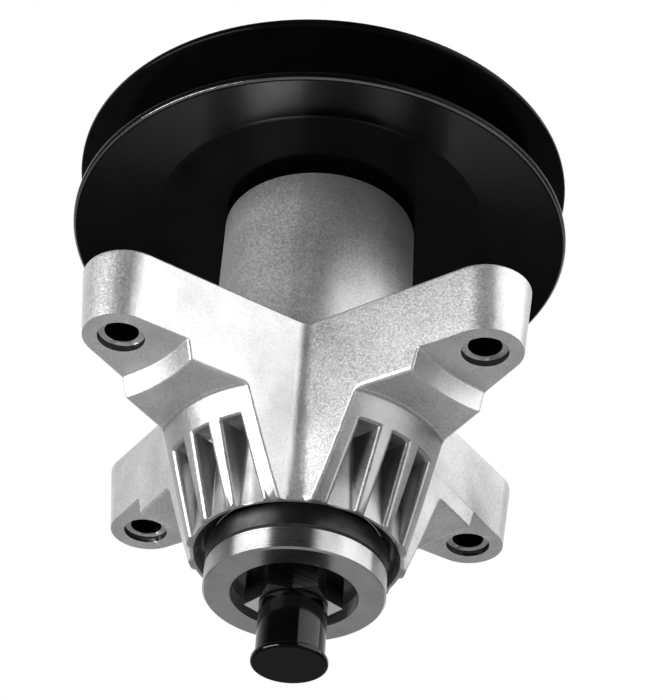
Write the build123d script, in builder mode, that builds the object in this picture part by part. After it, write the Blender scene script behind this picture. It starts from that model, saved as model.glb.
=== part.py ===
from build123d import *
from math import asin, atan2, cos, hypot, radians, sin, tan
import os

# Mower deck spindle: a die-cast four-arm housing with two ball bearings, a shaft with a
# six-point blade star and a capped stud below, and a pressed V-belt pulley on top.
# Frame: the spindle axis is Z, height zero is the plane of the deck pads, the blade is below.

# Deck fixing
arm_count = 4
first_arm_angle = 45.0
bolt_spacing = 95.25
bolt_hole_radius = 4.5
lead_in_radius = 6.35
lead_in_depth = 2.0

# Ball bearings
bearing_bore_radius = 10.0
bearing_outer_radius = 23.5
bearing_width = 14.0
ball_count = 8
ball_radius = 3.97
ball_clearance = 0.1
land_offset = 3.15
cage_wall = 2.1
cage_bridge = 0.75
pocket_clearance = 0.2
seal_thickness = 1.0
seal_inset = 0.3
seal_clearance = 0.1
ring_edge_fillet = 0.8
press_clearance = 0.02

# Seat ring and dust shield on the collar of the shaft
seat_overhang = 1.0
seat_thickness = 7.0
seat_recess = 4.4
seat_edge_chamfer = 0.5
shield_top_gap = 1.8

# Bearing tube
dust_gap = 1.2
mouth_flare = 2.2
foot_rim = 0.9
recess_depth = 4.0
tube_top = 76.5
tube_step = 0.2
tube_draft = 0.5
tube_root_fillet = 1.5
top_bearing_setback = 2.5
top_mouth_chamfer = 0.8
relief_step = 0.7

# Cast arms, drafted from their top plane down to the pads
arm_top = 20.0
ear_radius_top = 12.3
ear_radius_pad = 10.3
valley_wall_top = 1.9
valley_wall_pad = 1.0
valley_fillet = 4.8
arm_edge_fillet = 0.8
pad_length = 13.35
pad_edge_radius = 53.0
pad_edge_slope = 16.0
step_depth = 6.25
step_edge_fillet = 0.8

# Ribbed skirt under the arms
skirt_draft = 3.7
skirt_radius = 40.7
skirt_root_fillet = 1.5
skirt_edge_fillet = 1.2
rib_foot = 1.0
housing_foot = 36.0
band_height = 7.25
slot_count = 3
slot_pitch = 10.0
slot_width = 5.2
slot_draft = 2.0

# Spindle shaft
shoulder_relief = 0.4
neck_length = 1.5
collar_radius = 17.2
collar_length = 10.0
star_points = 6
blade_star_tip = 13.1
blade_star_root = 9.7
blade_star_length = 7.5
stud_radius = 7.94
stud_length = 16.2
stud_chamfer = 1.2
pulley_star_relief = 0.08
pulley_star_step = 0.56
star_clearance = 0.05
upper_stud_over_nut = 2.0

# Pressed pulley
pulley_radius = 73.0
pulley_rim_width = 23.5
web_clearance = 3.7
sheet_thickness = 2.6
flange_slope = 20.0
bend_radius = 4.5
rim_edge_fillet = 1.0

# Pulley nut
nut_sides = 6
nut_across_flats = 23.8
nut_height = 14.0
nut_corner_slope = 30.0
nut_flange_radius = 15.5
nut_flange_height = 2.6
thread_clearance = 0.05

# Thread protector cap
cap_wall = 1.2
cap_clearance = 0.06
cap_end_thickness = 1.3
cap_lip_overhang = 1.05
cap_lip_height = 1.9
cap_lip_fillet = 0.7
cap_star_gap = 0.4

# Radii worked out from the sizes above
half_arm_step = radians(180.0 / arm_count)
ear_reach = bolt_spacing / (2 * sin(half_arm_step))
pad_reach = ear_reach - pad_length
pitch_radius = (bearing_bore_radius + bearing_outer_radius) / 2
inner_land_radius = pitch_radius - land_offset
outer_land_radius = pitch_radius + land_offset
journal_radius = bearing_bore_radius - press_clearance
bearing_seat_radius = bearing_outer_radius + press_clearance
shoulder_radius = inner_land_radius - shoulder_relief
relief_bore_radius = outer_land_radius + relief_step
seat_radius = bearing_outer_radius + seat_overhang
press_radius = collar_radius + press_clearance
recess_radius = seat_radius + dust_gap
mouth_radius = recess_radius + mouth_flare
lower_tube_radius = mouth_radius + foot_rim
upper_tube_radius = lower_tube_radius - tube_step
valley_reach_top = upper_tube_radius + valley_wall_top
valley_reach_pad = lower_tube_radius + valley_wall_pad
skirt_foot_radius = lower_tube_radius + rib_foot
pulley_star_tip = journal_radius - pulley_star_relief
pulley_star_root = stud_radius + pulley_star_step
cap_bore = stud_radius + cap_clearance
cap_radius = cap_bore + cap_wall
cap_lip_radius = cap_radius + cap_lip_overhang

# Heights worked out from the sizes above
slot_ceiling = step_depth + band_height
recess_floor = -housing_foot + recess_depth
lower_shoulder = recess_floor + bearing_width
lower_bearing_mid = recess_floor + bearing_width / 2
upper_bearing_top = tube_top - top_bearing_setback
upper_bearing_mid = upper_bearing_top - bearing_width / 2
upper_shoulder = upper_bearing_top - bearing_width
collar_top = recess_floor - neck_length
collar_bottom = collar_top - collar_length
blade_star_bottom = collar_bottom - blade_star_length
stud_bottom = blade_star_bottom - stud_length
seat_bottom = collar_bottom - seat_recess
seat_top = seat_bottom + seat_thickness
shield_top = recess_floor - shield_top_gap
web_bottom = tube_top + web_clearance
pulley_mid = web_bottom + sheet_thickness
web_top = pulley_mid + sheet_thickness
nut_top = web_top + nut_height
stud_top = nut_top + upper_stud_over_nut
cap_top = blade_star_bottom - cap_star_gap
cap_floor = stud_bottom - cap_clearance
cap_bottom = cap_floor - cap_end_thickness


def star_corners(tip, root):
    half_step = 180.0 / star_points
    corners = []
    for index in range(2 * star_points):
        angle = radians(index * half_step)
        radius = tip if index % 2 == 0 else root
        corners.append((radius * cos(angle), radius * sin(angle)))
    return corners


def save(builder, name):
    builder.part.label = name
    export_step(builder.part, f"parts/{name}.step")


# The cross of arms in plan, each running tangent from the valleys into its round ear
def cross_outline(height, ear, valley):
    corner_u = valley * cos(half_arm_step)
    corner_v = valley * sin(half_arm_step)
    run = ear_reach - corner_u
    to_ear = hypot(run, corner_v)
    wall_angle = atan2(corner_v, run) - asin(ear / to_ear)
    tangent_u = ear_reach + ear * sin(wall_angle)
    tangent_v = ear * cos(wall_angle)

    with BuildSketch() as arm:
        with BuildLine():
            Polyline(
                (tangent_u, -tangent_v),
                (corner_u, -corner_v),
                (0, -corner_v),
                (0, corner_v),
                (corner_u, corner_v),
                (tangent_u, tangent_v),
            )
            ThreePointArc(
                (tangent_u, tangent_v),
                (ear_reach + ear, 0),
                (tangent_u, -tangent_v),
            )
        make_face()

    with BuildSketch(Plane.XY.offset(height)) as cross:
        with PolarLocations(0, arm_count, start_angle=first_arm_angle):
            add(arm.sketch)
        valleys = cross.vertices().filter_by(
            lambda point: abs(hypot(point.X, point.Y) - valley) < valley_fillet / 2
        )
        fillet(valleys, valley_fillet)
    return cross.sketch


os.makedirs("parts", exist_ok=True)
cross_at_top = cross_outline(arm_top, ear_radius_top, valley_reach_top)
cross_at_pads = cross_outline(0, ear_radius_pad, valley_reach_pad)

# Die-cast housing
with BuildPart() as housing:
    loft([cross_at_pads, cross_at_top], ruled=True)
    extrude(cross_at_pads, amount=-housing_foot, taper=skirt_draft)
    # The skirt cone bounds everything below the step, with a soft root under the arms
    outside = ear_reach + 2 * ear_radius_pad
    with BuildSketch(Plane.XZ) as around_skirt:
        Polygon(
            (skirt_radius, -step_depth),
            (outside, -step_depth),
            (outside, -housing_foot),
            (skirt_foot_radius, -housing_foot),
            align=None,
        )
        fillet(around_skirt.vertices().sort_by(Axis.X)[1], skirt_root_fillet)
    revolve(axis=Axis.Z, mode=Mode.SUBTRACT)
    # Slots between the gusset ribs, parallel to each arm, drafted and open below
    with BuildSketch(Plane.XY.offset(-slot_ceiling)):
        with PolarLocations(skirt_radius, arm_count, start_angle=first_arm_angle):
            with GridLocations(0, slot_pitch, 1, slot_count):
                Rectangle(skirt_radius, slot_width)
    extrude(amount=slot_ceiling - housing_foot, taper=-slot_draft, mode=Mode.SUBTRACT)
    # Soft edges round the ribs and slots
    skirt_faces = housing.faces().filter_by(GeomType.CONE).sort_by(SortBy.AREA)[-arm_count:]
    rib_edges = skirt_faces.edges().filter_by_position(
        Axis.Z, skirt_edge_fillet - housing_foot, -step_depth - skirt_root_fillet
    )
    fillet(rib_edges, skirt_edge_fillet)
    # The pads are stepped up from the arm by a bowed, sloping wall
    with PolarLocations(pad_reach + pad_edge_radius, arm_count, start_angle=first_arm_angle):
        Cone(
            pad_edge_radius + step_depth * tan(radians(pad_edge_slope)),
            pad_edge_radius,
            step_depth,
            align=(Align.CENTER, Align.CENTER, Align.MAX),
            mode=Mode.SUBTRACT,
        )
    step_walls = housing.faces().filter_by(GeomType.CONE).filter_by_position(Axis.Z, -step_depth, 0)
    fillet(step_walls.edges(), step_edge_fillet)
    # Bearing tube, thicker under the arms
    tube_rise = tube_top - arm_top
    with BuildSketch(Plane.XZ):
        Polygon(
            (0, -housing_foot),
            (lower_tube_radius, -housing_foot),
            (lower_tube_radius, arm_top),
            (upper_tube_radius, arm_top),
            (upper_tube_radius - tube_rise * tan(radians(tube_draft)), tube_top),
            (0, tube_top),
            align=None,
        )
    revolve(axis=Axis.Z)
    # Stepped bore: dust recess, lower seat, relief, upper seat
    with BuildSketch(Plane.XZ):
        Polygon(
            (0, -housing_foot),
            (mouth_radius, -housing_foot),
            (recess_radius, recess_floor),
            (bearing_seat_radius, recess_floor),
            (bearing_seat_radius, lower_shoulder),
            (relief_bore_radius, lower_shoulder),
            (relief_bore_radius, upper_shoulder),
            (bearing_seat_radius, upper_shoulder),
            (bearing_seat_radius, tube_top - top_mouth_chamfer),
            (bearing_seat_radius + top_mouth_chamfer, tube_top),
            (0, tube_top),
            align=None,
        )
    revolve(axis=Axis.Z, mode=Mode.SUBTRACT)
    # Soft edges where the tube leaves the arms and round the top of the arms
    top_edges = housing.edges().filter_by_position(Axis.Z, arm_top, arm_top)
    fillet(top_edges.filter_by(lambda edge: edge.is_closed), tube_root_fillet)
    top_edges = housing.edges().filter_by_position(Axis.Z, arm_top, arm_top)
    fillet(top_edges.filter_by(lambda edge: not edge.is_closed), arm_edge_fillet)
    # Deck screw holes with a lead-in on the pad face
    with Locations(-Plane.XY):
        with PolarLocations(ear_reach, arm_count, start_angle=-first_arm_angle):
            CounterBoreHole(bolt_hole_radius, lead_in_radius, lead_in_depth, arm_top)
save(housing, "housing")

# Spindle shaft with its blade star, collar and two studs
with BuildPart() as spindle_shaft:
    with BuildSketch(Plane.XZ):
        Polygon(
            (0, stud_bottom),
            (stud_radius - stud_chamfer, stud_bottom),
            (stud_radius, stud_bottom + stud_chamfer),
            (stud_radius, collar_bottom),
            (collar_radius, collar_bottom),
            (collar_radius, collar_top),
            (shoulder_radius, collar_top),
            (shoulder_radius, recess_floor),
            (journal_radius, recess_floor),
            (journal_radius, web_bottom),
            (stud_radius, web_bottom),
            (stud_radius, stud_top - stud_chamfer),
            (stud_radius - stud_chamfer, stud_top),
            (0, stud_top),
            align=None,
        )
    revolve(axis=Axis.Z)
    with BuildSketch(Plane.XY.offset(collar_bottom)):
        Polygon(*star_corners(blade_star_tip, blade_star_root), align=None)
    extrude(amount=-blade_star_length)
    with BuildSketch(Plane.XY.offset(web_bottom)):
        Polygon(*star_corners(pulley_star_tip, pulley_star_root), align=None)
    extrude(amount=2 * sheet_thickness - star_clearance)
save(spindle_shaft, "spindle_shaft")


def build_bearing(place, mid):
    half_width = bearing_width / 2
    groove_radius = ball_radius + ball_clearance

    with BuildPart() as outer_ring:
        with BuildSketch(Plane.XZ):
            with Locations(((outer_land_radius + bearing_outer_radius) / 2, mid)):
                Rectangle(bearing_outer_radius - outer_land_radius, bearing_width)
        revolve(axis=Axis.Z)
        rim_edges = outer_ring.edges().filter_by(GeomType.CIRCLE).sort_by(SortBy.RADIUS)[-2:]
        fillet(rim_edges, ring_edge_fillet)
        with BuildSketch(Plane.XZ):
            with Locations((pitch_radius, mid)):
                Circle(groove_radius)
        revolve(axis=Axis.Z, mode=Mode.SUBTRACT)
    save(outer_ring, f"{place}_bearing_outer_ring")

    with BuildPart() as inner_ring:
        with BuildSketch(Plane.XZ):
            with Locations(((bearing_bore_radius + inner_land_radius) / 2, mid)):
                Rectangle(inner_land_radius - bearing_bore_radius, bearing_width)
        revolve(axis=Axis.Z)
        with BuildSketch(Plane.XZ):
            with Locations((pitch_radius, mid)):
                Circle(groove_radius)
        revolve(axis=Axis.Z, mode=Mode.SUBTRACT)
    save(inner_ring, f"{place}_bearing_inner_ring")

    with BuildPart(Plane.XY.offset(mid)) as balls:
        with PolarLocations(pitch_radius, ball_count):
            Sphere(ball_radius)
    save(balls, f"{place}_bearing_balls")

    pocket_radius = ball_radius + pocket_clearance
    with BuildPart(Plane.XY.offset(mid)) as cage:
        Cylinder(pitch_radius + cage_wall / 2, 2 * (pocket_radius + cage_bridge))
        Cylinder(
            pitch_radius - cage_wall / 2,
            2 * (pocket_radius + cage_bridge),
            mode=Mode.SUBTRACT,
        )
        with PolarLocations(pitch_radius, ball_count):
            Cylinder(pocket_radius, 2 * cage_wall, rotation=(0, 90, 0), mode=Mode.SUBTRACT)
    save(cage, f"{place}_bearing_cage")

    for side, direction in (("upper", 1), ("lower", -1)):
        seal_mid = mid + direction * (half_width - seal_inset - seal_thickness / 2)
        with BuildPart() as seal:
            with BuildSketch(Plane.XY.offset(seal_mid)):
                Circle(outer_land_radius - press_clearance)
                Circle(inner_land_radius + seal_clearance, mode=Mode.SUBTRACT)
            extrude(amount=seal_thickness / 2, both=True)
        save(seal, f"{place}_bearing_{side}_seal")


for bearing_place, bearing_mid in (("upper", upper_bearing_mid), ("lower", lower_bearing_mid)):
    build_bearing(bearing_place, bearing_mid)

# Spacer tube between the inner rings, and the collar that carries the pulley
for sleeve_name, sleeve_bottom, sleeve_top in (
    ("bearing_spacer", lower_shoulder, upper_shoulder),
    ("pulley_collar", upper_bearing_top, web_bottom),
):
    with BuildPart() as sleeve:
        with BuildSketch(Plane.XY.offset(sleeve_bottom)):
            Circle(shoulder_radius)
            Circle(bearing_bore_radius, mode=Mode.SUBTRACT)
        extrude(amount=sleeve_top - sleeve_bottom)
    save(sleeve, sleeve_name)

# Dust shield and blade seat ring, pressed on the collar of the shaft
for ring_name, ring_bottom, ring_top in (
    ("dust_shield", seat_top, shield_top),
    ("blade_seat_ring", seat_bottom, seat_top),
):
    with BuildPart() as ring:
        with BuildSketch(Plane.XY.offset(ring_bottom)):
            Circle(seat_radius)
            Circle(press_radius, mode=Mode.SUBTRACT)
        extrude(amount=ring_top - ring_bottom)
        outer_edges = ring.edges().filter_by(GeomType.CIRCLE).sort_by(SortBy.RADIUS)[-2:]
        chamfer(outer_edges, seat_edge_chamfer)
    save(ring, ring_name)

# Pressed pulley halves, back to back, with a star hole for the shaft
flange_tan = tan(radians(flange_slope))
sheet_rise = sheet_thickness / cos(radians(flange_slope))
half_rim = pulley_rim_width / 2
bend_outside = pulley_radius - (half_rim - sheet_thickness) / flange_tan
bend_inside = pulley_radius - (half_rim - sheet_rise) / flange_tan

for half_name, direction in (("lower", -1), ("upper", 1)):
    web_face = pulley_mid + direction * sheet_thickness
    groove_edge = pulley_mid + direction * (half_rim - sheet_rise)
    rim_edge = pulley_mid + direction * half_rim
    with BuildPart() as pulley_half:
        with BuildSketch(Plane.XZ):
            with BuildLine():
                FilletPolyline(
                    (0, pulley_mid),
                    (bend_inside, pulley_mid),
                    (pulley_radius, groove_edge),
                    radius=bend_radius + sheet_thickness,
                )
                FilletPolyline(
                    (0, web_face),
                    (bend_outside, web_face),
                    (pulley_radius, rim_edge),
                    radius=bend_radius,
                )
                Line((0, pulley_mid), (0, web_face))
                Line((pulley_radius, groove_edge), (pulley_radius, rim_edge))
            make_face()
        revolve(axis=Axis.Z)
        rim_edges = pulley_half.edges().filter_by(GeomType.CIRCLE).sort_by(SortBy.RADIUS)[-2:]
        fillet(rim_edges, rim_edge_fillet)
        with BuildSketch(Plane.XY.offset(web_bottom)):
            Polygon(
                *star_corners(pulley_star_tip + star_clearance, pulley_star_root + star_clearance),
                align=None,
            )
        extrude(amount=2 * sheet_thickness, mode=Mode.SUBTRACT)
    save(pulley_half, f"pulley_{half_name}_half")

# Flanged hexagon nut that clamps the pulley
with BuildPart() as pulley_nut:
    with BuildSketch(Plane.XY.offset(web_top)):
        RegularPolygon(nut_across_flats / 2, nut_sides, major_radius=False)
    extrude(amount=nut_height)
    # The hexagon's upper corners are turned off at a slope
    with BuildSketch(Plane.XZ):
        Polygon(
            (0, web_top),
            (nut_across_flats, web_top),
            (nut_across_flats, nut_top - nut_across_flats / 2 * tan(radians(nut_corner_slope))),
            (nut_across_flats / 2, nut_top),
            (0, nut_top),
            align=None,
        )
    revolve(axis=Axis.Z, mode=Mode.INTERSECT)
    with BuildSketch(Plane.XZ):
        Polygon(
            (0, web_top),
            (nut_flange_radius, web_top),
            (nut_flange_radius, web_top + nut_flange_height / 2),
            (nut_across_flats / 2, web_top + nut_flange_height),
            (0, web_top + nut_flange_height),
            align=None,
        )
    revolve(axis=Axis.Z)
    with Locations((0, 0, web_top)):
        Cylinder(
            stud_radius + thread_clearance,
            nut_height,
            align=(Align.CENTER, Align.CENTER, Align.MIN),
            mode=Mode.SUBTRACT,
        )
save(pulley_nut, "pulley_nut")

# Thin moulded cap that protects the blade stud
with BuildPart() as thread_cap:
    with BuildSketch(Plane.XZ):
        Polygon(
            (0, cap_bottom),
            (cap_lip_radius, cap_bottom),
            (cap_lip_radius, cap_bottom + cap_lip_height),
            (cap_radius, cap_bottom + cap_lip_height),
            (cap_radius, cap_top),
            (cap_bore, cap_top),
            (cap_bore, cap_floor),
            (0, cap_floor),
            align=None,
        )
    revolve(axis=Axis.Z)
    lip_edges = thread_cap.edges().filter_by(GeomType.CIRCLE).sort_by(SortBy.RADIUS)[-2:]
    fillet(lip_edges, cap_lip_fillet)
save(thread_cap, "thread_cap")
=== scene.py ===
import math

import bmesh
import bpy
from mathutils import Matrix, Vector


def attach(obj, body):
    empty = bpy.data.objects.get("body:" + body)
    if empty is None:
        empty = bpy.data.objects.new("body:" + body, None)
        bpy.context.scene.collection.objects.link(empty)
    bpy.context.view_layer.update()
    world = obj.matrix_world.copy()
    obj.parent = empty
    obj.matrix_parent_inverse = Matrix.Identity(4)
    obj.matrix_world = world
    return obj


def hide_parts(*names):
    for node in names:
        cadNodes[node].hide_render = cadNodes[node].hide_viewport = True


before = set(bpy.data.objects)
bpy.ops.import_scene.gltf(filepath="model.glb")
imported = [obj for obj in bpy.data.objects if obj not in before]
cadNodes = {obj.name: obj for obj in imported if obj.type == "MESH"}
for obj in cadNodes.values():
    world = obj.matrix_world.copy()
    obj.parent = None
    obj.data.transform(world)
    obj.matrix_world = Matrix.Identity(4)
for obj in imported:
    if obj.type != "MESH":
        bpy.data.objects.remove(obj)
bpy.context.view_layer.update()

scene = bpy.context.scene
scene.view_settings.view_transform = "Standard"
print("frame loaded,", len(cadNodes), "nodes")


# small helpers for the node trees

noiseBand = (0.3, 0.7)    # noise rarely leaves this band


def startMaterial(name):
    mat = bpy.data.materials.new(name)
    mat.use_nodes = True
    tree = mat.node_tree
    coords = tree.nodes.new("ShaderNodeTexCoord").outputs["Object"]
    return mat, tree, tree.nodes["Principled BSDF"], coords


def feed(tree, source, socket):    # a link from another node, or a plain value
    if isinstance(source, bpy.types.NodeSocket):
        tree.links.new(source, socket)
    else:
        socket.default_value = source


def addMath(tree, operation, *terms):
    node = tree.nodes.new("ShaderNodeMath")
    node.operation = operation
    for socket, term in zip(node.inputs, terms):
        feed(tree, term, socket)
    return node.outputs["Value"]


def addVectorMath(tree, operation, *terms):
    node = tree.nodes.new("ShaderNodeVectorMath")
    node.operation = operation
    for socket, term in zip(node.inputs, terms):
        feed(tree, term, socket)
    return node.outputs["Value" if operation in ("LENGTH", "DOT_PRODUCT") else "Vector"]


def addRadius(tree, coords):    # distance from the upright axis
    return addVectorMath(tree, "LENGTH", addVectorMath(tree, "MULTIPLY", coords, (1, 1, 0)))


def addHeight(tree, coords):
    return addVectorMath(tree, "DOT_PRODUCT", coords, (0, 0, 1))


def addNoise(tree, coords, scale, detail, gain=0.5):
    noise = tree.nodes.new("ShaderNodeTexNoise")
    feed(tree, coords, noise.inputs["Vector"])
    feed(tree, scale, noise.inputs["Scale"])
    feed(tree, detail, noise.inputs["Detail"])
    feed(tree, gain, noise.inputs["Roughness"])
    return noise.outputs["Fac"]


def addTurning(tree, coords, linesPerMetre, detail=3):
    # one line noise that runs with the radius on flat faces and with the height on sides
    along = addMath(tree, "ADD", addRadius(tree, coords), addHeight(tree, coords))
    lines = tree.nodes.new("ShaderNodeTexNoise")
    lines.noise_dimensions = "1D"
    feed(tree, along, lines.inputs["W"])
    feed(tree, linesPerMetre, lines.inputs["Scale"])
    feed(tree, detail, lines.inputs["Detail"])
    return lines.outputs["Fac"]


def addRamp(tree, factor, *stops):
    ramp = tree.nodes.new("ShaderNodeValToRGB")
    elements = ramp.color_ramp.elements
    while len(elements) < len(stops):
        elements.new(0.5)    # takes its own place below
    for element, (place, tone) in zip(elements, stops):
        element.position = place
        element.color = (*tone, 1)
    feed(tree, factor, ramp.inputs["Fac"])
    return ramp.outputs["Color"]


def addTwoTone(tree, factor, look):
    return addRamp(tree, factor, *zip(noiseBand, (look["dark"], look["light"])))


def addRange(tree, factor, low, high):
    span = tree.nodes.new("ShaderNodeMapRange")
    feed(tree, noiseBand[0], span.inputs["From Min"])
    feed(tree, noiseBand[1], span.inputs["From Max"])
    feed(tree, low, span.inputs["To Min"])
    feed(tree, high, span.inputs["To Max"])
    feed(tree, factor, span.inputs["Value"])
    return span.outputs["Result"]


def addBump(tree, height, depth, strength, under=None):
    bump = tree.nodes.new("ShaderNodeBump")
    feed(tree, strength, bump.inputs["Strength"])
    feed(tree, depth, bump.inputs["Distance"])
    feed(tree, height, bump.inputs["Height"])
    if under:
        feed(tree, under, bump.inputs["Normal"])
    return bump.outputs["Normal"]


def addMix(tree, factor, tone, other):
    blend = tree.nodes.new("ShaderNodeMix")
    blend.data_type = "RGBA"
    feed(tree, factor, blend.inputs["Factor"])
    feed(tree, tone, blend.inputs["A"])
    feed(tree, (*other, 1), blend.inputs["B"])
    return blend.outputs["Result"]


def addSideMask(tree, tilt=0.3):    # one on walls that stand along the axis, nothing on end faces
    normal = tree.nodes.new("ShaderNodeTexCoord").outputs["Normal"]
    upright = addHeight(tree, normal)
    return addMath(tree, "LESS_THAN", addMath(tree, "MULTIPLY", upright, upright), tilt)


# small helpers for the meshes

weldReach = 1e-7


def editMesh(mesh, change):
    shape = bmesh.new()
    shape.from_mesh(mesh)
    change(shape)
    shape.to_mesh(mesh)
    shape.free()


def weld(shape):    # CAD meshes come as loose triangles
    bmesh.ops.remove_doubles(shape, verts=shape.verts, dist=weldReach)


def turnOutward(shape):
    bmesh.ops.recalc_face_normals(shape, faces=shape.faces)


def addObject(name, data):
    made = bpy.data.objects.new(name, data)
    scene.collection.objects.link(made)
    return made


def addPiece(name, mesh, finish):
    mesh.materials.clear()
    mesh.materials.append(finish)
    return addObject(name, mesh)


def bakeModifiers(source):
    bpy.context.view_layer.update()
    made = source.evaluated_get(bpy.context.evaluated_depsgraph_get())
    return bpy.data.meshes.new_from_object(made)


# lines of the casting, for its finish and for the hollowing of its arms

arms = {
    "count": 4, "firstTurn": 45, "valley": 0.02107, "flankSlope": 0.227, "draft": 0.0663,
    "skirtTop": 0.0407, "skirtRise": 0.366, "skirtFrom": 0.00625, "holeAt": 0.047625,
}

castLook = {
    "tones": (
        (0.36, (0.50, 0.50, 0.505)), (0.49, (0.65, 0.65, 0.655)), (0.62, (0.78, 0.78, 0.785)),
    ),
    "cloud": 55, "grain": 1500, "pit": 5200, "mottle": 0.5,
    "rough": (0.34, 0.45), "metal": 0.85,
    "grainDepth": 0.00007, "pitDepth": 0.0000233, "bump": 0.5,
    # painted shade: a dark tone laid over the slots and a share of it over the skirt band
    "recess": (0.24, 0.24, 0.243), "slotTop": -0.0131, "slotSkin": 0.0008, "slotFade": 0.004,
    "bandTop": -0.0064, "skirtShadeShare": 0.52, "flankSkin": 0.0006,
    # painted shade: dark tones laid inside the screw holes and on the walls of their lead-ins
    "paintedHoleShade": (0.012, 0.012, 0.012), "holeRadius": 0.00455,
    "paintedLeadShade": (0.06, 0.06, 0.06), "leadRadius": 0.00635, "leadBand": 0.0002,
    "leadMiddle": 0.001, "leadHalf": 0.00095,
}


def addHoleReach(tree, coords):    # distance from the axis of the nearest screw hole
    holeAt = (arms["holeAt"], arms["holeAt"], 0)
    folded = addVectorMath(tree, "ABSOLUTE", coords)
    return addRadius(tree, addVectorMath(tree, "SUBTRACT", folded, holeAt))


def addPaintedShadeMask(tree, coords):    # painted shade: one deep in the slots, a share on the skirt band, none on the flanks
    half = math.sqrt(0.5)
    folded = addVectorMath(tree, "ABSOLUTE", coords)
    along = addVectorMath(tree, "DOT_PRODUCT", folded, (half, half, 0))
    across = addVectorMath(tree, "DOT_PRODUCT", folded, (half, -half, 0))
    height = addHeight(tree, coords)

    skirtStart = arms["skirtTop"] + arms["skirtRise"] * arms["skirtFrom"]
    skirt = addMath(tree, "MULTIPLY_ADD", height, arms["skirtRise"], skirtStart)
    sunk = addMath(tree, "SUBTRACT", skirt, addRadius(tree, coords))
    sunk = addMath(tree, "SUBTRACT", sunk, castLook["slotSkin"])
    fade = addMath(tree, "DIVIDE", sunk, castLook["slotFade"])
    fade.node.use_clamp = True
    inSlot = addMath(tree, "LESS_THAN", height, castLook["slotTop"])
    deep = addMath(tree, "MULTIPLY", fade, inSlot)

    onSkirt = addMath(tree, "LESS_THAN", height, castLook["bandTop"])
    band = addMath(tree, "MULTIPLY", onSkirt, castLook["skirtShadeShare"])

    flankStart = arms["valley"] * (1 + arms["flankSlope"]) - castLook["flankSkin"]
    flank = addMath(tree, "MULTIPLY_ADD", along, -arms["flankSlope"], flankStart)
    flank = addMath(tree, "MULTIPLY_ADD", height, arms["draft"], flank)
    inside = addMath(tree, "LESS_THAN", addMath(tree, "ABSOLUTE", across), flank)
    return addMath(tree, "MULTIPLY", addMath(tree, "MAXIMUM", deep, band), inside)


def addLeadShadeMask(tree, coords, reach):    # one on the walls of the screw-hole lead-ins, where shade is painted
    cone = addMath(tree, "COMPARE", reach, castLook["leadRadius"], castLook["leadBand"])
    level = addMath(
        tree, "COMPARE", addHeight(tree, coords), castLook["leadMiddle"], castLook["leadHalf"])
    return addMath(tree, "MULTIPLY", cone, level)


def castFinish():
    mat, tree, shader, coords = startMaterial("castAluminium")
    cloud = addNoise(tree, coords, castLook["cloud"], detail=4, gain=0.6)
    grain = addNoise(tree, coords, castLook["grain"], detail=3, gain=0.6)
    pit = addNoise(tree, coords, castLook["pit"], detail=2)
    patchy = addMath(tree, "MULTIPLY", cloud, 1 - castLook["mottle"])
    patchy = addMath(tree, "MULTIPLY_ADD", grain, castLook["mottle"], patchy)
    reach = addHoleReach(tree, coords)
    holes = addMath(tree, "LESS_THAN", reach, castLook["holeRadius"])
    tone = addRamp(tree, patchy, *castLook["tones"])
    # painted shade darkens the slots, the skirt band, the lead-in walls and the screw holes
    tone = addMix(tree, addPaintedShadeMask(tree, coords), tone, castLook["recess"])
    tone = addMix(tree, addLeadShadeMask(tree, coords, reach), tone, castLook["paintedLeadShade"])
    tone = addMix(tree, holes, tone, castLook["paintedHoleShade"])
    feed(tree, tone, shader.inputs["Base Color"])
    feed(tree, castLook["metal"], shader.inputs["Metallic"])
    feed(tree, addRange(tree, grain, *castLook["rough"]), shader.inputs["Roughness"])
    skin = addBump(tree, grain, castLook["grainDepth"], castLook["bump"])
    skin = addBump(tree, pit, castLook["pitDepth"], castLook["bump"], skin)
    feed(tree, skin, shader.inputs["Normal"])
    return mat


enamelLook = {
    "tones": ((0.35, (0.0015, 0.0015, 0.0016)), (0.7, (0.003, 0.003, 0.0031))),
    "cloud": 90, "rough": (0.14, 0.22), "ior": 1.14,
    "peel": 700, "peelDepth": 0.00001, "bump": 0.3,
    "rubbed": (0.20, 0.20, 0.205), "rimRadius": 0.0722, "rimEdge": 0.0717, "rimBand": 0.0002,
}


def enamelFinish():
    mat, tree, shader, coords = startMaterial("blackEnamel")
    cloud = addNoise(tree, coords, enamelLook["cloud"], detail=5, gain=0.6)
    peel = addNoise(tree, coords, enamelLook["peel"], detail=2)
    onRim = addMath(tree, "GREATER_THAN", addRadius(tree, coords), enamelLook["rimRadius"])
    height = addHeight(tree, coords)
    edge = addMath(tree, "COMPARE", height, enamelLook["rimEdge"], enamelLook["rimBand"])
    rubbed = addMath(tree, "MULTIPLY", onRim, edge)    # paint rubbed off the lower flange's edge
    tone = addRamp(tree, cloud, *enamelLook["tones"])
    tone = addMix(tree, rubbed, tone, enamelLook["rubbed"])
    feed(tree, tone, shader.inputs["Base Color"])
    feed(tree, rubbed, shader.inputs["Metallic"])
    feed(tree, addRange(tree, cloud, *enamelLook["rough"]), shader.inputs["Roughness"])
    feed(tree, enamelLook["ior"], shader.inputs["IOR"])
    skin = addBump(tree, peel, enamelLook["peelDepth"], enamelLook["bump"])
    feed(tree, skin, shader.inputs["Normal"])
    return mat


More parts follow.
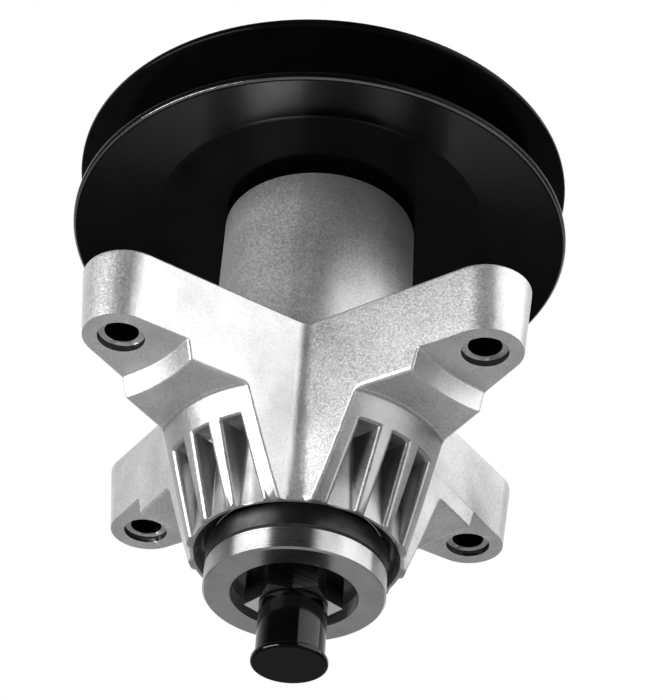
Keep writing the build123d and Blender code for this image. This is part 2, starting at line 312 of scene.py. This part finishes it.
seatLook = {
    "dark": (0.42, 0.42, 0.425), "light": (0.58, 0.58, 0.59), "lines": 2600, "cloud": 120,
    "rough": (0.20, 0.27), "sideRough": 0.06, "depth": 0.00001, "bump": 0.04, "drawn": 0.97,
}
shieldLook = {
    "dark": (0.045, 0.045, 0.046), "light": (0.10, 0.10, 0.102), "lines": 1800, "cloud": 160,
    "rough": (0.28, 0.36), "sideRough": 0.12, "depth": 0.00001, "bump": 0.08, "drawn": 0.8,
}
shaftLook = {
    "dark": (0.07, 0.07, 0.071), "light": (0.13, 0.13, 0.132), "lines": 2200, "cloud": 140,
    "rough": (0.18, 0.26), "sideRough": 0.06, "depth": 0.00002, "bump": 0.1, "drawn": 0.5,
    "bareFace": -0.0510, "bareBand": 0.0002, "bareTone": (0.93, 0.93, 0.93),
}
bearingLook = {
    "dark": (0.52, 0.52, 0.54), "light": (0.66, 0.66, 0.68), "lines": 3200, "cloud": 100,
    "rough": (0.10, 0.18), "sideRough": 0.06, "depth": 0.00001, "bump": 0.1, "drawn": 0.5,
}
zincLook = {
    "dark": (0.52, 0.52, 0.49), "light": (0.72, 0.72, 0.68), "lines": 1500, "cloud": 260,
    "rough": (0.22, 0.36), "sideRough": 0.04, "depth": 0.00002, "bump": 0.2, "drawn": 0.3,
}


def turnedFinish(name, look):    # turned or ground steel in several tones
    mat, tree, shader, coords = startMaterial(name)
    lines = addTurning(tree, coords, look["lines"])
    cloud = addNoise(tree, coords, look["cloud"], detail=7, gain=0.75)
    sideways = addSideMask(tree)
    tone = addTwoTone(tree, cloud, look)
    if "bareFace" in look:    # one end face left bright
        height = addHeight(tree, coords)
        bare = addMath(tree, "COMPARE", height, look["bareFace"], look["bareBand"])
        bare = addMath(tree, "GREATER_THAN", bare, sideways)
        tone = addMix(tree, bare, tone, look["bareTone"])
    feed(tree, tone, shader.inputs["Base Color"])
    feed(tree, 1, shader.inputs["Metallic"])
    fine = addRange(tree, lines, *look["rough"])
    rough = addMath(tree, "MULTIPLY_ADD", sideways, look["sideRough"], fine)
    feed(tree, rough, shader.inputs["Roughness"])
    feed(tree, addBump(tree, lines, look["depth"], look["bump"]), shader.inputs["Normal"])
    around = tree.nodes.new("ShaderNodeTangent")
    around.direction_type = "RADIAL"
    around.axis = "Z"
    quarterTurn = 0.25    # draws the glints out along the axis
    feed(tree, around.outputs["Tangent"], shader.inputs["Tangent"])
    feed(tree, addMath(tree, "MULTIPLY", sideways, look["drawn"]), shader.inputs["Anisotropic"])
    feed(tree, quarterTurn, shader.inputs["Anisotropic Rotation"])
    return mat


vinylLook = {
    "dark": (0.0008, 0.0008, 0.0008), "light": (0.0016, 0.0016, 0.0017), "cloud": 180,
    "rough": (0.08, 0.12), "skin": 2400, "depth": 0.00001, "bump": 0.3,
    "shine": 0.32, "endShine": 0.10,
}
sealLook = {
    "dark": (0.018, 0.018, 0.018), "light": (0.040, 0.040, 0.040), "cloud": 200,
    "rough": (0.5, 0.65), "skin": 3000, "depth": 0.00003, "bump": 0.3,
    "shine": 0.4, "endShine": 0.4,
}
cageLook = {
    "dark": (0.62, 0.55, 0.40), "light": (0.78, 0.71, 0.54), "cloud": 220,
    "rough": (0.38, 0.52), "skin": 2600, "depth": 0.00003, "bump": 0.3,
    "shine": 0.5, "endShine": 0.5,
}


def mouldedFinish(name, look):    # rubber, vinyl and moulded cages
    mat, tree, shader, coords = startMaterial(name)
    cloud = addNoise(tree, coords, look["cloud"], detail=4, gain=0.6)
    skin = addNoise(tree, coords, look["skin"], detail=3)
    sideGain = look["shine"] - look["endShine"]
    shine = addMath(tree, "MULTIPLY_ADD", addSideMask(tree), sideGain, look["endShine"])
    feed(tree, addTwoTone(tree, cloud, look), shader.inputs["Base Color"])
    feed(tree, addRange(tree, cloud, *look["rough"]), shader.inputs["Roughness"])
    feed(tree, shine, shader.inputs["Specular IOR Level"])
    feed(tree, addBump(tree, skin, look["depth"], look["bump"]), shader.inputs["Normal"])
    return mat


def coat(finish, *names):    # puts one finish on CAD nodes
    for name in names:
        slots = cadNodes[name].data.materials
        slots.clear()
        slots.append(finish)


castAluminium = castFinish()
blackEnamel = enamelFinish()
polishedSteel = turnedFinish("polishedSteel", seatLook)
darkSteel = turnedFinish("darkSteel", shieldLook)
shaftSteel = turnedFinish("shaftSteel", shaftLook)
bearingSteel = turnedFinish("bearingSteel", bearingLook)
zincPlate = turnedFinish("zincPlate", zincLook)
blackVinyl = mouldedFinish("blackVinyl", vinylLook)
sealRubber = mouldedFinish("sealRubber", sealLook)
cagePlastic = mouldedFinish("cagePlastic", cageLook)

coat(blackEnamel, "pulley_lower_half", "pulley_upper_half")
coat(polishedSteel, "blade_seat_ring")
coat(darkSteel, "dust_shield")
coat(shaftSteel, "bearing_spacer", "pulley_collar")
coat(zincPlate, "pulley_nut")
coat(blackVinyl, "thread_cap")
for place in ("upper", "lower"):
    bearing = place + "_bearing_"
    coat(bearingSteel, bearing + "outer_ring", bearing + "inner_ring", bearing + "balls")
    coat(cagePlastic, bearing + "cage")
    coat(sealRubber, bearing + "upper_seal", bearing + "lower_seal")
print("finishes on the CAD nodes")


# spindle shaft with real threads: the studs shrink to the thread root, the ridges are swept on

shaft = {
    "studRadius": 0.00794, "rootRadius": 0.00706, "slack": 0.00001,
    "starBottom": -0.0510, "studBottom": -0.0672, "nutSeat": 0.0854, "studTop": 0.1014,
    "pitch": 0.00141, "footShare": 0.96, "crestShare": 0.14, "sink": 0.0002,
    "runOut": 0.0014, "stepsPerTurn": 40,
}


def shrinkStuds(shape):
    weld(shape)
    belowStar = shaft["starBottom"] + shaft["slack"]
    aboveNut = shaft["nutSeat"] - shaft["slack"]
    for vert in shape.verts:
        reach = math.hypot(vert.co.x, vert.co.y)
        onStud = vert.co.z < belowStar or vert.co.z > aboveNut
        if onStud and shaft["rootRadius"] < reach < shaft["studRadius"] + shaft["slack"]:
            vert.co.x *= shaft["rootRadius"] / reach
            vert.co.y *= shaft["rootRadius"] / reach


def threadTree():
    tree = bpy.data.node_groups.new("studThread", "GeometryNodeTree")
    face = tree.interface
    face.new_socket("Geometry", in_out="INPUT", socket_type="NodeSocketGeometry")
    for name in ("Radius", "Depth", "Foot", "Crest", "Bottom", "Length", "Turns"):
        face.new_socket(name, in_out="INPUT", socket_type="NodeSocketFloat")
    face.new_socket("Steps", in_out="INPUT", socket_type="NodeSocketInt")
    face.new_socket("Material", in_out="INPUT", socket_type="NodeSocketMaterial")
    face.new_socket("Geometry", in_out="OUTPUT", socket_type="NodeSocketGeometry")
    nodes = tree.nodes
    given = nodes.new("NodeGroupInput").outputs

    helix = nodes.new("GeometryNodeCurveSpiral")
    feed(tree, given["Steps"], helix.inputs["Resolution"])
    feed(tree, given["Turns"], helix.inputs["Rotations"])
    feed(tree, given["Radius"], helix.inputs["Start Radius"])
    feed(tree, given["Radius"], helix.inputs["End Radius"])
    feed(tree, given["Length"], helix.inputs["Height"])
    upright = nodes.new("GeometryNodeSetCurveNormal")
    upright.mode = "Z_UP"
    feed(tree, helix.outputs["Curve"], upright.inputs["Curve"])

    ridge = nodes.new("GeometryNodeCurvePrimitiveQuadrilateral")
    ridge.mode = "TRAPEZOID"
    feed(tree, given["Foot"], ridge.inputs["Bottom Width"])
    feed(tree, given["Crest"], ridge.inputs["Top Width"])
    feed(tree, given["Depth"], ridge.inputs["Height"])
    feed(tree, 0, ridge.inputs["Offset"])
    turn = nodes.new("GeometryNodeTransform")    # crest away from the axis
    feed(tree, (0, 0, math.radians(-90)), turn.inputs["Rotation"])
    feed(tree, ridge.outputs["Curve"], turn.inputs["Geometry"])

    sweep = nodes.new("GeometryNodeCurveToMesh")
    feed(tree, True, sweep.inputs["Fill Caps"])
    feed(tree, upright.outputs["Curve"], sweep.inputs["Curve"])
    feed(tree, turn.outputs["Geometry"], sweep.inputs["Profile Curve"])
    lift = nodes.new("ShaderNodeCombineXYZ")
    feed(tree, given["Bottom"], lift.inputs["Z"])
    place = nodes.new("GeometryNodeTransform")
    feed(tree, sweep.outputs["Mesh"], place.inputs["Geometry"])
    feed(tree, lift.outputs["Vector"], place.inputs["Translation"])

    whole = nodes.new("GeometryNodeRealizeInstances")
    feed(tree, place.outputs["Geometry"], whole.inputs["Geometry"])
    paint = nodes.new("GeometryNodeSetMaterial")
    feed(tree, whole.outputs["Geometry"], paint.inputs["Geometry"])
    feed(tree, given["Material"], paint.inputs["Material"])
    result = nodes.new("NodeGroupOutput")
    feed(tree, paint.outputs["Geometry"], result.inputs["Geometry"])
    return tree


def grow(name, tree, settings):    # runs a tree and keeps its result as a plain mesh
    seed = addObject(name + "Seed", bpy.data.meshes.new(name + "Seed"))
    modifier = seed.modifiers.new("grow", "NODES")
    modifier.node_group = tree
    for item in tree.interface.items_tree:
        if item.in_out == "INPUT" and item.name in settings:
            modifier[item.identifier] = settings[item.name]
    seed.update_tag()
    mesh = bakeModifiers(seed)
    seed.modifiers.clear()
    bpy.data.objects.remove(seed)
    editMesh(mesh, turnOutward)
    return addObject(name, mesh)


threads = threadTree()
threadDepth = shaft["studRadius"] - shaft["rootRadius"] + shaft["sink"]
for name, studStart, studEnd in (
    ("bladeStudThread", shaft["studBottom"], shaft["starBottom"]),
    ("pulleyStudThread", shaft["nutSeat"], shaft["studTop"]),
):
    threadLength = studEnd - studStart - 2 * shaft["runOut"]
    thread = grow(name, threads, {
        "Radius": shaft["studRadius"] - threadDepth / 2, "Depth": threadDepth,
        "Foot": shaft["pitch"] * shaft["footShare"], "Crest": shaft["pitch"] * shaft["crestShare"],
        "Bottom": studStart + shaft["runOut"], "Length": threadLength,
        "Turns": threadLength / shaft["pitch"], "Steps": shaft["stepsPerTurn"],
        "Material": shaftSteel,
    })
    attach(thread, "spindle")

shaftMesh = cadNodes["spindle_shaft"].data.copy()
editMesh(shaftMesh, shrinkStuds)
turnedShaft = addPiece("turnedShaft", shaftMesh, shaftSteel)
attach(turnedShaft, "spindle")
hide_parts("spindle_shaft")
print("shaft and threads made")


# the outer slots of each arm are hollowed out to a thin wall along the flank of the arm

pocket = {
    "ceiling": -0.0136, "foot": -0.0363, "tube": 0.02885, "slotSide": 0.0120, "wall": 0.0020,
    "reach": 0.042, "steps": 8, "turnStep": 0.002, "sharp": 28, "flat": 0.02,
}


def flankAt(along, height):    # half width of a pocket at one place on its arm
    flank = arms["valley"] - arms["flankSlope"] * (along - arms["valley"])
    return flank + arms["draft"] * height - pocket["wall"]


def pocketOutline(height):    # along the arm and across it
    tube, reach = pocket["tube"], pocket["reach"]
    first = math.asin(pocket["slotSide"] / tube)
    last = first
    while tube * math.sin(last) < flankAt(tube * math.cos(last), height):
        last += pocket["turnStep"]
    sweep = (last - first) / pocket["steps"]
    turns = [first + sweep * step for step in range(pocket["steps"] + 1)]
    arc = [(tube * math.cos(turn), tube * math.sin(turn)) for turn in turns]
    return arc + [(reach, flankAt(reach, height)), (reach, pocket["slotSide"])]


def addPocket(shape, turn, side):
    loops = []
    for height in (pocket["ceiling"], pocket["foot"]):
        corners = [Vector((u, side * v, height)) for u, v in pocketOutline(height)]
        loops.append([shape.verts.new(turn @ corner) for corner in corners])
    top, bottom = loops
    shape.faces.new(top)
    shape.faces.new(bottom)
    for step in range(len(top)):
        after = (step + 1) % len(top)
        shape.faces.new((top[step], top[after], bottom[after], bottom[step]))


def allPockets(shape):
    for arm in range(arms["count"]):
        angle = math.radians(arms["firstTurn"] + 360 / arms["count"] * arm)
        for side in (1, -1):
            addPocket(shape, Matrix.Rotation(angle, 4, "Z"), side)
    turnOutward(shape)


def dissolveFlat(shape):
    limit = math.radians(pocket["flat"])
    bmesh.ops.dissolve_limit(shape, angle_limit=limit, verts=shape.verts, edges=shape.edges)


castMesh = cadNodes["housing"].data.copy()
editMesh(castMesh, weld)
blank = addObject("castingBlank", castMesh)
cutter = addObject("pocketCutter", bpy.data.meshes.new("pocketCutter"))
editMesh(cutter.data, allPockets)
hollow = blank.modifiers.new("hollow", "BOOLEAN")
hollow.operation = "DIFFERENCE"
hollow.solver = "EXACT"
hollow.object = cutter
hollowMesh = bakeModifiers(blank)
editMesh(hollowMesh, dissolveFlat)
hollowMesh.shade_smooth()
hollowMesh.set_sharp_from_angle(angle=math.radians(pocket["sharp"]))
blank.modifiers.remove(hollow)
blank.data = hollowMesh
evening = blank.modifiers.new("evenNormals", "WEIGHTED_NORMAL")    # keeps walls flat by the fillets
evening.keep_sharp = True
ribbedMesh = bakeModifiers(blank)
bpy.data.objects.remove(blank)
bpy.data.objects.remove(cutter)
ribbedHousing = addPiece("ribbedHousing", ribbedMesh, castAluminium)
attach(ribbedHousing, "deck_housing")
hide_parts("housing")
print("housing hollowed,", len(ribbedMesh.polygons), "faces")


# studio: pale floor well below, white surround, two soft boxes and a fill

floorLook = {
    "height": -1.1, "size": 6, "cloud": 3, "rough": 0.9,
    "dark": (0.62, 0.62, 0.62), "light": (0.68, 0.68, 0.68),
}
surroundLook = {
    "behind": (-0.03, 0.80, 0.60), "glowFrom": 0.1, "glowFull": 0.9,
    "darkRoom": 0.03, "brightWall": 0.9, "seen": 1,
}
lampTarget = Vector((0, 0, 0.02))
lamps = {
    "leftBox": {"from": (-0.775, -0.585, -0.10), "size": (0.8, 0.6), "power": 9.0, "spread": 140},
    "rightBox": {"from": (0.78, -0.34, 0.54), "size": (1.5, 0.6), "power": 3.8, "spread": 140},
    "rightFill": {"from": (0.85, -0.49, -0.05), "size": (0.8, 0.5), "power": 0.7, "spread": 90},
}


def floorFinish():
    mat, tree, shader, coords = startMaterial("paleFloor")
    cloud = addNoise(tree, coords, floorLook["cloud"], detail=3)
    feed(tree, addTwoTone(tree, cloud, floorLook), shader.inputs["Base Color"])
    feed(tree, floorLook["rough"], shader.inputs["Roughness"])
    return mat


def surroundWorld():
    world = bpy.data.worlds.new("surround")
    world.use_nodes = True
    sky = world.node_tree
    sky.nodes.clear()
    direction = sky.nodes.new("ShaderNodeTexCoord").outputs["Generated"]
    facing = addVectorMath(sky, "DOT_PRODUCT", direction, surroundLook["behind"])
    glow = sky.nodes.new("ShaderNodeMapRange")    # dark room in front, bright wall behind
    glow.interpolation_type = "SMOOTHSTEP"
    feed(sky, facing, glow.inputs["Value"])
    feed(sky, surroundLook["glowFrom"], glow.inputs["From Min"])
    feed(sky, surroundLook["glowFull"], glow.inputs["From Max"])
    feed(sky, surroundLook["darkRoom"], glow.inputs["To Min"])
    feed(sky, surroundLook["brightWall"], glow.inputs["To Max"])
    paths = sky.nodes.new("ShaderNodeLightPath")
    strength = sky.nodes.new("ShaderNodeMix")    # plain white where the camera sees it
    strength.data_type = "FLOAT"
    feed(sky, paths.outputs["Is Camera Ray"], strength.inputs["Factor"])
    feed(sky, glow.outputs["Result"], strength.inputs["A"])
    feed(sky, surroundLook["seen"], strength.inputs["B"])
    surround = sky.nodes.new("ShaderNodeBackground")
    feed(sky, (1, 1, 1, 1), surround.inputs["Color"])
    feed(sky, strength.outputs["Result"], surround.inputs["Strength"])
    output = sky.nodes.new("ShaderNodeOutputWorld")
    feed(sky, surround.outputs["Background"], output.inputs["Surface"])
    return world


edge = floorLook["size"] / 2
corners = [(-edge, -edge), (edge, -edge), (edge, edge), (-edge, edge)]
floorMesh = bpy.data.meshes.new("floor")
floorMesh.from_pydata([(x, y, floorLook["height"]) for x, y in corners], [], [(0, 1, 2, 3)])
floor = addPiece("floor", floorMesh, floorFinish())
scene.world = surroundWorld()

for name, lamp in lamps.items():
    light = bpy.data.lights.new(name, "AREA")
    light.shape = "RECTANGLE"
    light.size, light.size_y = lamp["size"]
    light.energy = lamp["power"]
    light.spread = math.radians(lamp["spread"])
    lampObject = addObject(name, light)
    lampObject.location = lamp["from"]
    aim = lampTarget - lampObject.location
    lampObject.rotation_euler = aim.to_track_quat("-Z", "Y").to_euler()
print("studio lit")


# camera below the part, looking up along the photograph's line

view = {
    "place": (0.026165, -0.517261, -0.350006),
    "right": (0.998663, 0.001037, 0.051688),
    "up": (-0.040862, -0.596645, 0.801465),
    "lens": 115.50, "sensor": 36, "clipStart": 0.01,
}
right = Vector(view["right"]).normalized()
back = right.cross(Vector(view["up"])).normalized()
up = back.cross(right)
camera = bpy.data.cameras.new("camera")
camera.lens = view["lens"]
camera.sensor_width = view["sensor"]
camera.clip_start = view["clipStart"]
cameraObject = addObject("camera", camera)
turned = Matrix((right, up, back)).transposed().to_4x4()
cameraObject.matrix_world = Matrix.Translation(view["place"]) @ turned
scene.camera = cameraObject

print("camera set")
